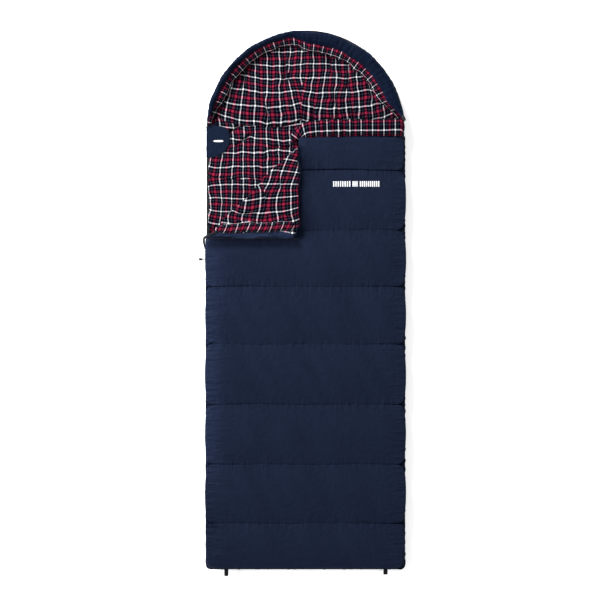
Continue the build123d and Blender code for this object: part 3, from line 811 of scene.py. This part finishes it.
def back_quilt():
    """The back: its tartan is simulated where it can be seen, above start, and its rows are coarser below."""
    cell, hidden, start = 0.0045, 0.012, 0.154
    xs = np.linspace(-HALF, HALF, int(round(2 * HALF / cell)) + 1)
    ys = np.concatenate([np.linspace(FOOT_Y, start, int(round((start - FOOT_Y) / hidden)), endpoint=False),
                         np.linspace(start, HOOD_Y + HALF, int(round((HOOD_Y + HALF - start) / cell)) + 1)])
    x, y = np.meshgrid(xs, ys)
    beyond = np.maximum(y - HOOD_Y, 0)
    radius = np.hypot(x, beyond)
    limit = HALF - 0.004 - 0.004 * smooth(beyond, 0.0, 0.08)
    pull = np.where((beyond > 0) & (radius > limit), limit / np.maximum(radius, 1e-6), 1)
    inside = (beyond <= 0) | (radius < limit + 0.8 * cell)
    side = foot_limit(y, HALF - 0.004) / HALF
    plan = points_at(np.where(beyond > 0, x * pull * np.minimum(1, limit / HALF + 0.009), x * side),
                     np.where(beyond > 0, HOOD_Y + beyond * pull, y))
    to_edge = np.clip(np.where(beyond > 0, limit - radius, np.minimum(HALF - np.abs(x), y - FOOT_Y)), 0, 1)
    to_seam = distance_to(y + 0.014 * waves(x, 0 * x, 0.5, 31), BACK_SEAMS)
    puff = 1 - np.exp(-((to_seam / 0.035) ** 1.3))
    opened = smooth(y, 0.10, 0.30)
    in_hood = smooth(y, 0.72, 0.84)
    crest = BACK_TOP - 0.012 + (0.010 + 0.006 * opened + 0.008 * in_hood) * puff
    crest += (0.003 + 0.004 * in_hood) * waves(x, y, 0.20, 32) * opened
    z = (BACK_TOP - 0.006) + (crest - BACK_TOP + 0.006) * quarter_round(to_edge, 0.030)
    top = points_at(plan[..., 0], plan[..., 1], z)
    drop, pulled = tucks(x, y, FLOOR_TUCKS)
    uv = points_at(x + 0.020, y) + pulled
    for axis in (0, 1):
        drift = 0.0035 * waves(x, y, 0.20, 35 + axis) + 0.0016 * waves(x, y, 0.05, 37 + axis)
        uv[..., axis] += opened * drift
    first = int(np.searchsorted(ys, start + cell / 2))
    part, region = top[first:].copy(), (x[first:], y[first:])
    free = inside[first:] & (to_edge[first:] > 0.014)
    free[0] = free[-1] = free[:, 0] = free[:, -1] = False
    creased = np.maximum(waves(region[0], 0.45 * region[1], 0.075, 33), -0.4)
    part[..., 2] += free * (0.0050 * creased + 0.0035 * waves(*region, 0.036, 34))
    roof = np.where(y[first:] < collar_high.y, front_low.z - 0.007, BACK_TOP + 0.022)
    ceiling = np.minimum(part[..., 2] + 0.011, roof)
    top[first:] = settle(part, free, 0.100, part[..., 2] - 0.010, ceiling, 190, bend=0.10)
    top[..., 2] -= drop * inside * smooth(to_edge, 0.010, 0.030)
    under = 0.0040 * (1 - quarter_round(to_edge, 0.020)) + 0.003 * np.exp(-to_seam / 0.012)
    bottom = points_at(plan[..., 0], plan[..., 1], under)
    marks = {"by_seam": np.exp(-to_seam / 0.03), "by_edge": 0 * x}
    piece = closed_quilt("back_quilt", top, bottom, inside, [TARTAN, NAVY, NAVY], 0.003, 4, uv, marks,
                         to_edge < 0.008)
    show(piece, "bag", "shell", "back_shell", "back_fill", "back_lining", fill=0.6)
    return Surface(top, inside)


# --- edge seams ---
def edge_seams():
    """The gathered welt that closes the side without a zip and the foot."""
    inset = HALF - 0.0016
    corner = FOOT_ROUND * 0.9
    points = [(inset, front_high.y - 0.002, GAP_Z), (inset, FOOT_Y + corner, GAP_Z)]
    for turn in np.linspace(0, math.pi / 2, 8)[1:-1]:
        across, down = corner * (1 - math.cos(turn)), corner * (1 - math.sin(turn))
        points.append((inset - across, FOOT_Y + down, GAP_Z))
    points += [(inset - corner, FOOT_Y + 0.0012, GAP_Z), (-inset + corner, FOOT_Y + 0.0012, GAP_Z)]
    path = resampled(points, 0.004)
    side, _ = directions(path)
    run = run_lengths(path)
    path += side * (0.0016 * ripple(run, 0.030, 51) - 0.0004)[:, None]
    path[:, 2] += 0.0015 * ripple(run, 0.06, 52)
    piece = rolled_pad("edge_seam_welt", path, 0.0026, 0.0125, RIM_NAVY, 16, (0.8, 0.9), 0.0008, 53)
    show(piece, "bag", "shell", "side_seam", "foot_seam", fill=0.9)


# --- hood rim ---
def rim_width(angle):
    """How wide the navy rim shows at an angle round the hood, in degrees from +X."""
    wide = 0.030 + 0.034 * smooth(angle, 101, 86)
    return 0.009 + (wide - 0.009) * smooth(angle, 5, 21) * smooth(angle, 177, 160)


def on_hood(angle, radius, height):
    """Points round the hood's centre; the angle is in degrees."""
    turn = np.radians(angle)
    return points_at(radius * np.cos(turn), HOOD_Y + radius * np.sin(turn), height)


def rim_crest(angle):
    """Height of the rim's crest: full to its collar end, and running down into the lining at its zip end."""
    to_end = np.radians(177.5 - angle) * HALF
    full, low = 0.104 + 0.007 * smooth(angle, 3, 24), BACK_TOP + 0.004
    return low + (full - low) * (0.35 * quarter_round(to_end, 0.020) + 0.65 * smooth(to_end, 0.0, 0.150))


def hood_rim():
    angle = np.linspace(4.5, 177.5, 400)[:, None]
    arc = np.radians(angle) * HALF
    width = rim_width(angle) + 0.0012 * ripple(arc, 0.12, 74)
    across, rise = around_section(64, 0.86, 0.74)
    base = 0.014  # foot of the rim, above the floor's rounded edge
    half_height = (rim_crest(angle) - base) / 2
    pucker = 0.0014 * waves(arc, 0.012 * across, 0.024, 71)
    dent = 0.0022 * waves(arc, 0.05 * across, 0.13, 72)
    from_inner = (across + 1) / 2 * width
    line = smooth(angle, 92, 80) * smooth(angle, 10, 18)
    top_side = np.clip(rise, 0, 1)
    z = base + half_height * (1 + rise)
    z += (pucker * 1.5 + dent) * top_side
    z -= 0.0045 * bump_at(from_inner - 0.022, 0.0030) * line * top_side
    radius = RIM_OUT - width / 2 + (width / 2) * across + (pucker + dent) * np.minimum(across, 0.8)
    radius -= (0.0050 + pucker) * bump_at(z - BACK_TOP - 0.004, 0.0050) * (across > 0.3)
    piece = tube("hood_rim", on_hood(angle, radius, z), RIM_NAVY)
    show(piece, "bag", "shell", "hood_rim_shell", "hood_rim_fill", "hood_cord_channel", fill=0.7)
    turn = np.linspace(14, 166, 700)
    near_edge = on_hood(turn, RIM_OUT - rim_width(turn) + 0.0045, rim_crest(turn) - 0.0035)
    right = turn[turn < 84]
    second = on_hood(right, RIM_OUT - rim_width(right) + 0.022, rim_crest(right) - 0.0045)
    show(stitches("hood_rim_stitches", [near_edge, second], STITCH), "bag", "shell")


def rim_cord():
    """The drawcord: sewn down at the zip end, round inside the rim, then out and up to its lock."""
    angle = np.linspace(174, 5.2, 260)
    held = on_hood(angle, HALF - 0.008, np.minimum(0.098, rim_crest(angle) - 0.010))
    knot = np.array(sum(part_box("drawcord_knot"), Vector()) / 2)
    foot = np.array([knot[0], knot[1], 0.1105])
    leaving = eased([held[-1], held[-1] + (0.0006, -0.011, 0.001), foot], 3)
    rising = foot + (knot - foot) * np.linspace(0, 1, 9)[:, None]
    path = resampled(np.concatenate([held, leaving[1:], rising[1:]]), 0.003)
    piece = rolled_pad("hood_drawcord_run", path, 0.0020, 0.0020, CORD, 12, (1.0, 1.0))
    show(piece, "bag", "cord", "hood_drawcord")


def hood_lining_roll():
    """The lining where it turns up inside the rim: a low tartan roll with a crease at its foot."""
    size = 48
    angle = np.linspace(5.5, 176.5, 400)[:, None]
    arc = np.radians(angle) * HALF
    ends = smooth(angle, 4, 26) * smooth(angle, 178, 156)
    across, rise = around_section(size, 0.85, 0.9)
    half = (0.010 + 0.011 * ends) * (1 + 0.16 * ripple(arc, 0.11, 75))
    middle = RIM_OUT - rim_width(angle) - 0.008 * ends + 0.0015 * ripple(arc, 0.2, 77)
    top = np.minimum(0.062 + 0.028 * ends, rim_crest(angle) - 0.004) + 0.0025 * ripple(arc, 0.14, 76)
    low = 0.026  # sunk into the lining
    crumple = 0.0022 * waves(arc, 0.03 * np.arctan2(rise, across), 0.040, 73)
    radius = np.minimum(middle + (half + crumple) * across, RIM_OUT - 0.55 * rim_width(angle))
    z = (top + low) / 2 + ((top - low) / 2 + crumple) * rise
    uv = points_at(arc, np.arange(size) / size * 0.150 + 0.042)
    piece = tube("hood_lining_roll", on_hood(angle, radius, z), TARTAN, uv)
    show(piece, "bag", "lining", "hood_rim_lining", fill=0.5)


# --- collar and draft tubes ---
def collar_roll():
    """The tartan collar across the front's head, curling down into the turned corner at its left end."""
    middle = (collar_low.y + collar_high.y) / 2
    left = collar_low.x
    plan = [(collar_high.x - 0.003, middle + 0.001), (0.30, middle), (0.12, middle - 0.002),
            (0.02, middle - 0.007), (left + 0.012, middle - 0.016), (left - 0.014, middle - 0.040),
            (left - 0.026, middle - 0.066)]
    low = front_low.z - 0.001
    path = resampled(eased([(x, y, low) for x, y in plan]), 0.0025)
    run = run_lengths(path)
    left_share = smooth(run[-1] - run, 0.0, 0.105)
    right_share = smooth(run, -0.006, 0.026)
    half_width = (collar_high.y - collar_low.y) / 2 * (0.34 + 0.66 * left_share) * (0.80 + 0.20 * right_share)
    half_width = half_width + 0.0016 * ripple(run, 0.16, 82)
    half_height = (0.0165 + 0.0115 * left_share) * (0.9 + 0.1 * right_share)
    path[:, 2] = low + half_height
    piece = rolled_pad("collar_roll", path, half_width, half_height, TARTAN, 44, (0.75, 0.75), 0.0026, 81,
                       end_round=0.022)
    show(piece, "bag", "lining", "collar_cover", "collar_fill", fill=0.6)
    hem = path + directions(path)[0] * (half_width * 0.93)[:, None]
    hem[:, 2] = front_low.z + half_height * 1.45
    show(stitches("collar_stitches", [hem[16:-54]], TARTAN_STITCH), "bag", "lining")


def flap_draft_tube(lining):
    """The padded tube inside the zip, now lying along the turned corner's lower edge."""
    low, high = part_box("draft_tube_flap")
    xs = np.arange(low.x + 0.002, high.x - 0.012, 0.003)
    middle = (low.y + high.y) / 2 + 0.019 + 0.002 * ripple(xs, 0.18, 91) + 0.010 * smooth(xs, low.x, high.x)
    dome = quarter_round(np.minimum(xs - xs[0], xs[-1] - xs) + 0.0006, 0.012)
    fullness = 0.55 + 0.45 * smooth(xs, low.x - 0.01, low.x + 0.05)
    half_width = ((high.y - low.y) / 2 * fullness * dome)[:, None]
    half_height = ((0.0072 + 0.0008 * ripple(xs, 0.05, 92)) * dome)[:, None]
    path = points_at(xs, middle, np.minimum(lining.at(xs, middle + 0.006) + 0.0035, high.z - 0.006))
    size = 36
    across, rise = around_section(size, 0.8, 0.8)
    crumple = 0.0016 * waves(xs[:, None], 0.02 * across, 0.028, 93) * dome[:, None]
    out = across * (half_width + crumple)
    rings = swept(path, out, rise * half_height + crumple * (rise > 0))
    lean = 0.45 * out + 6.0 * out ** 2
    uv = points_at(xs[:, None] + lean, np.arange(size) / size * 0.11)
    piece = tube("flap_draft_tube", rings, TARTAN, uv)
    show(piece, "corner_flap", "lining", "draft_tube_flap", fill=0.6)


def front_draft_tube():
    """The padded tube inside the zip where the front is shut."""
    low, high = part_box("draft_tube_front")
    middle, half = (low + high) / 2, (high - low) / 2
    ys = np.arange(low.y, high.y, 0.006)
    path = points_at(middle.x + 0.001 * ripple(ys, 0.2, 94), ys, middle.z)
    piece = rolled_pad("front_draft_tube", path, half.x, half.z, TARTAN, 28, (0.7, 0.8), 0.0010, 95)
    show(piece, "bag", "lining", "draft_tube_front", fill=0.6)


# --- zip ---
def zip_boxes(part):
    """Low and high corners of a part's tape, and then of its coil."""
    return *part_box("zip_tape_" + part), *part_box("zip_coil_" + part)


def zip_half(part, body, lower, upper, path, out):
    """The tape between two edges, and the coil along a path with its teeth towards out."""
    show(ribbon(part + "_zip_tape", lower, upper), body, "zip_tape", "zip_tape_" + part)
    show(zip_coil(part + "_zip_coil", path, out), body, "zip_coil", "zip_coil_" + part)


def back_zip():
    """The back's half of the zip: upright where it is closed, lying flat on the lining where it is open."""
    low, high, coil_low, coil_high = zip_boxes("back")
    sewn_x, teeth_x = -0.4480, -0.4345  # the tape's two edges where it lies flat
    ys = np.arange(low.y, high.y, 0.004)
    flat = smooth(ys, 0.270, 0.320) * smooth(ys, 0.690, 0.655)
    shut = 1 - flat
    x = (low.x + high.x) / 2
    lower = points_at(x * shut + sewn_x * flat, ys, low.z * shut + (BACK_TOP + 0.001) * flat)
    wander = flat * 0.0012 * ripple(ys, 0.09, 101)
    upper = points_at(x * shut + teeth_x * flat + wander, ys, high.z * shut + (BACK_TOP + 0.0045) * flat)
    teeth = unit(upper - lower)
    keep = (ys < coil_high.y) & (ys > coil_low.y - 0.001)
    path, out = upper + teeth * TAPE_THICK, np.cross(teeth, (0, 1, 0))
    zip_half("back", "bag", lower, upper, path[keep], out[keep])


def front_zip():
    """The front's half of the zip, upright and closed."""
    low, high, coil_low, coil_high = zip_boxes("front")
    ys = np.arange(low.y, high.y + 0.001, 0.006)
    x = (low.x + high.x) / 2
    lower = points_at(x, ys, low.z)
    upper = points_at(x + 0.0008 * ripple(ys, 0.05, 102), ys, high.z - 0.002)
    path = points_at(x, ys, (coil_low.z + coil_high.z) / 2)
    zip_half("front", "bag", lower, upper, path, np.zeros_like(path) + (1, 0, 0))


def flap_zip():
    """The turned corner's half of the zip, along its lower edge."""
    low, high, coil_low, coil_high = zip_boxes("flap")
    xs = np.arange(low.x, high.x, 0.005)
    y = (low.y + high.y) / 2 + 0.0010 * ripple(xs, 0.07, 103)
    lower, upper = points_at(xs, y, low.z), points_at(xs, y + 0.0004, high.z)
    keep = (xs > coil_low.x) & (xs < coil_high.x)
    path = points_at(xs, y, (coil_low.z + coil_high.z) / 2)[keep]
    zip_half("flap", "corner_flap", lower, upper, path, np.zeros_like(path) + (0, 1, 0))


def zip_turn(name, body, points):
    """One of the two short lengths of tape and coil that turn over with the fold."""
    path = resampled(eased(points), 0.003)
    half_tape = 0.0045
    side, _ = directions(path)
    lower, upper = path - side * half_tape, path + side * half_tape
    show(ribbon(name + "_tape", lower, upper), body, "zip_tape")
    show(zip_coil(name + "_coil", upper + side * TAPE_THICK, side), body, "zip_coil")


def pull_tab():
    """The moulded rubber tab that the fingers hold, with an eye for the link and a ridge round its edge."""
    low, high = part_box("zip_pull_loop")
    high.x += 0.0045  # the eye reaches round the link
    middle, half = (low + high) / 2, (high - low) / 2
    turn = np.arange(48) / 48 * math.tau
    across, rise = around_section(48, 0.45, 0.55)
    outer = points_at(middle.x + half.x * across, middle.y + half.y * rise * (0.80 - 0.17 * across))
    eye_x, eye = high.x - 0.0046, 0.0019
    inner = points_at(eye_x + eye * np.cos(turn), middle.y + eye * np.sin(turn))
    # eye to edge and back, above and then below
    share = np.array([0.0, 0.10, 0.45, 0.74, 0.86, 0.95, 1.0, 0.95, 0.86, 0.74, 0.45, 0.10])
    thick = np.array([0.3, 0.8, 0.65, 0.70, 1.2, 1.0, 0.0, -1.0, -1.2, -0.70, -0.65, -0.8])
    plan = inner[:, None] * (1 - share)[:, None] + outer[:, None] * share[:, None]
    rings = points_at(plan[..., 0], plan[..., 1], middle.z + 0.0014 * thick)
    piece = tube("zip_pull_grip", rings, GRIP, endless=True)
    show(piece, "zip_pull", "pull_rubber", "zip_pull_loop")


def zip_at_the_fold():
    """Both lengths as distances from the left edge and from the fold's foot, and heights."""
    meeting = (-0.0070, 0.001, FOLD_Z)
    under = [(-0.0012, -0.045, 0.058), (-0.0050, -0.028, 0.063), (-0.0085, -0.012, 0.074), meeting]
    over = [meeting, (-0.0045, 0.006, 0.100), (0.0120, 0.012, 0.1200), (0.0300, 0.020, 0.1245),
            (0.0560, 0.031, 0.1235)]
    corner = np.array([-HALF, FOLD_Y, 0])
    zip_turn("fold_zip_under", "bag", under + corner)
    zip_turn("fold_zip_over", "corner_flap", over + corner)


# --- patch and print ---
def patch_plan(reach_share, along):
    """Plan position on the half-oval patch, from its straight edge (0) to its curve (1)."""
    reach, half = patch_high.x - patch_low.x, (patch_high.y - patch_low.y) / 2
    fullness = np.where(along > 0, 5.0, 1.9)
    across = reach * 0.97 * (1 - np.abs(along) ** fullness) ** (1 / 2.1)
    return patch_low.x + across * reach_share, (patch_low.y + patch_high.y) / 2 + half * along


PATCH_END = 0.985  # share of the half length where the modelled edge stops


def corner_patch(floor):
    """The plain patch sewn on the lining at the corner; returns its highest level."""
    share, along = np.meshgrid(np.linspace(0, 1, 30), np.linspace(-PATCH_END, PATCH_END, 44))
    x, y = patch_plan(share, along)
    lift = floor.at(x, y)
    level = np.maximum(lift, lift.mean() - 0.001) * 0.4 + lift.max() * 0.6
    top = points_at(x, y, level + 0.0022 - 0.0012 * smooth(share, 0.94, 1.0))
    bottom = points_at(x, y, np.minimum(lift, level) - 0.0008)
    inside = np.ones(x.shape, bool)
    marks = {"by_seam": 0 * x, "by_edge": 0 * x}
    piece = closed_quilt("hood_corner_patch", top, bottom, inside, [PATCH_NAVY] * 3, marks=marks)
    show(piece, "bag", "patch", "corner_patch")
    x, y = patch_plan(0.955, np.linspace(-0.93, 0.93, 200))
    height = Surface(top, inside).at(x, y)
    show(stitches("patch_stitches", [points_at(x, y, height + 0.0004)], STITCH), "bag", "patch")
    return top[..., 2].max()


def patch_mark(level):
    """A plain oval of satin stitches."""
    low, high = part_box("patch_mark")
    middle, half = (low + high) / 2, (high - low) / 2
    columns = 60
    xs = np.linspace(low.x, high.x, columns)
    across = half.y * np.sqrt(np.clip(1 - np.abs((xs - middle.x) / half.x) ** 3, 0.02, 1))
    ridge = 0.0006 + 0.0003 * np.cos(np.arange(columns) * math.pi)
    share = np.linspace(-1, 1, 9)[:, None]
    top = points_at(xs, middle.y + share * across, level + ridge * (1 - 0.6 * share ** 4))
    bottom = top.copy()
    bottom[..., 2] = level - 0.0010
    inside = np.ones(top.shape[:2], bool)
    piece = closed_quilt("hood_patch_mark", top, bottom, inside, [MARK_THREAD] * 3, rows=2)
    show(piece, "bag", "white_thread", "patch_mark")


def printed_bars(front):
    """Three printed bars made of plain upright strokes, which follow the cloth."""
    low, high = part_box("printed_bars")
    widths, gap, stroke, space = (0.078, 0.024, 0.088), 0.009, 0.0062, 0.0034
    columns, left = [], low.x
    for width in widths:
        for start in np.linspace(left, left + width - stroke, round((width + space) / (stroke + space))):
            columns += [start, start + stroke / 2, start + stroke, start + stroke + space / 2]
        left += width + gap
    x, y = np.meshgrid(columns, np.linspace(low.y, high.y, 11))
    inside = np.ones(x.shape, bool)
    inside[:, 3::4] = False
    level = front.at(x, y)
    top, bottom = points_at(x, y, level + 0.0007), points_at(x, y, level - 0.0005)
    piece = closed_quilt("front_printed_bars", top, bottom, inside, [PRINT] * 3, rows=1)
    show(piece, "bag", "white_print", "printed_bars")


# --- CAD nodes that show as they are ---
CAD_FINISHES = {
    "zip_slider_body": ENAMEL, "zip_pull_link": ENAMEL,
    "cord_lock_body": LOCK, "cord_lock_button": LOCK, "cord_lock_spring": STEEL,
    "drawcord_eyelet": ENAMEL, "drawcord_knot": CORD,
    "zip_bottom_stop": ENAMEL, "zip_top_stop_back": ENAMEL, "zip_top_stop_flap": ENAMEL,
    "hanging_loop_left": WEBBING, "hanging_loop_right": WEBBING,
}


def repaint():
    for node, material in CAD_FINISHES.items():
        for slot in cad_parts[node].material_slots:
            slot.material = material


# --- the bag ---
def seam_stitches(xs, ys, top, seam_rows):
    """Thread along each cross seam of the front: on the part that stays put, and on the turned corner."""
    stay, turn = [], []
    for row in np.flatnonzero(seam_rows[:, 0]):
        line = top[row] + (0, 0, 0.0003)
        away = fold_distance(xs, ys[row])
        stays = (away > 0.006) | (ys[row] > FLAP_Y)
        stay.append(line[stays][1:-1])
        turns = (away < -0.006) & (xs < FLAP_X)
        if turns.sum() > 8:
            turn.append(turned_open(line[turns][1:]))
    show(stitches("front_seam_stitches", stay, STITCH), "bag", "shell")
    show(stitches("flap_seam_stitches", turn, STITCH), "corner_flap", "shell")


xs, ys, shut_front, seam_rows, marks = front_cloth()
front_quilt(xs, ys, shut_front, marks)
flap_lining = flap_quilt(xs, ys, shut_front, marks)
seam_stitches(xs, ys, shut_front, seam_rows)
floor = back_quilt()
edge_seams()
hood_rim()
rim_cord()
hood_lining_roll()
collar_roll()
flap_draft_tube(flap_lining)
front_draft_tube()
back_zip()
front_zip()
flap_zip()
zip_at_the_fold()
pull_tab()
patch_mark(corner_patch(floor))
printed_bars(Surface(shut_front, np.ones(shut_front.shape[:2], bool)))
repaint()


# --- stage, light and camera ---
def stage():
    reach = 30.0
    corners = [(reach * x, reach * y, 0) for x, y in ((-1, -1), (1, -1), (1, 1), (-1, 1))]
    f = Finish("pale_floor", 0.95, specular=0.0)
    f.set("Emission Color", (1, 1, 1, 1))
    f.set("Emission Strength", 0.46)
    f.set("Base Color", (0.93, 0.93, 0.93, 1))
    make_piece("floor", corners, [[0, 1, 2, 3]], [f.material])


def area_light(name, place, size, power):
    light = bpy.data.lights.new(name, "AREA")
    light.shape = "DISK"
    light.size = size
    light.energy = power
    lamp = bpy.data.objects.new(name, light)
    lamp.location = place
    lamp.rotation_euler = (-Vector(place)).to_track_quat("-Z", "Y").to_euler()
    scene.collection.objects.link(lamp)


def studio():
    world = bpy.data.worlds.new("studio")
    scene.world = world
    world.use_nodes = True
    background = world.node_tree.nodes["Background"]
    background.inputs["Color"].default_value = (1, 1, 1, 1)
    background.inputs["Strength"].default_value = 0.55
    area_light("key", (-1.5, 3.2, 2.5), 1.4, 220)
    area_light("window", (-4.2, 0.2, 2.6), 2.4, 300)
    area_light("fill", (2.4, -1.6, 4.2), 3.0, 30)
    scene.view_settings.view_transform = "Standard"


def camera():
    data = bpy.data.cameras.new("camera")
    data.lens = 85.0
    eye = bpy.data.objects.new("camera", data)
    eye.location = (-0.02475, 0.0, 6.45)
    scene.collection.objects.link(eye)
    scene.camera = eye


stage()
studio()
camera()
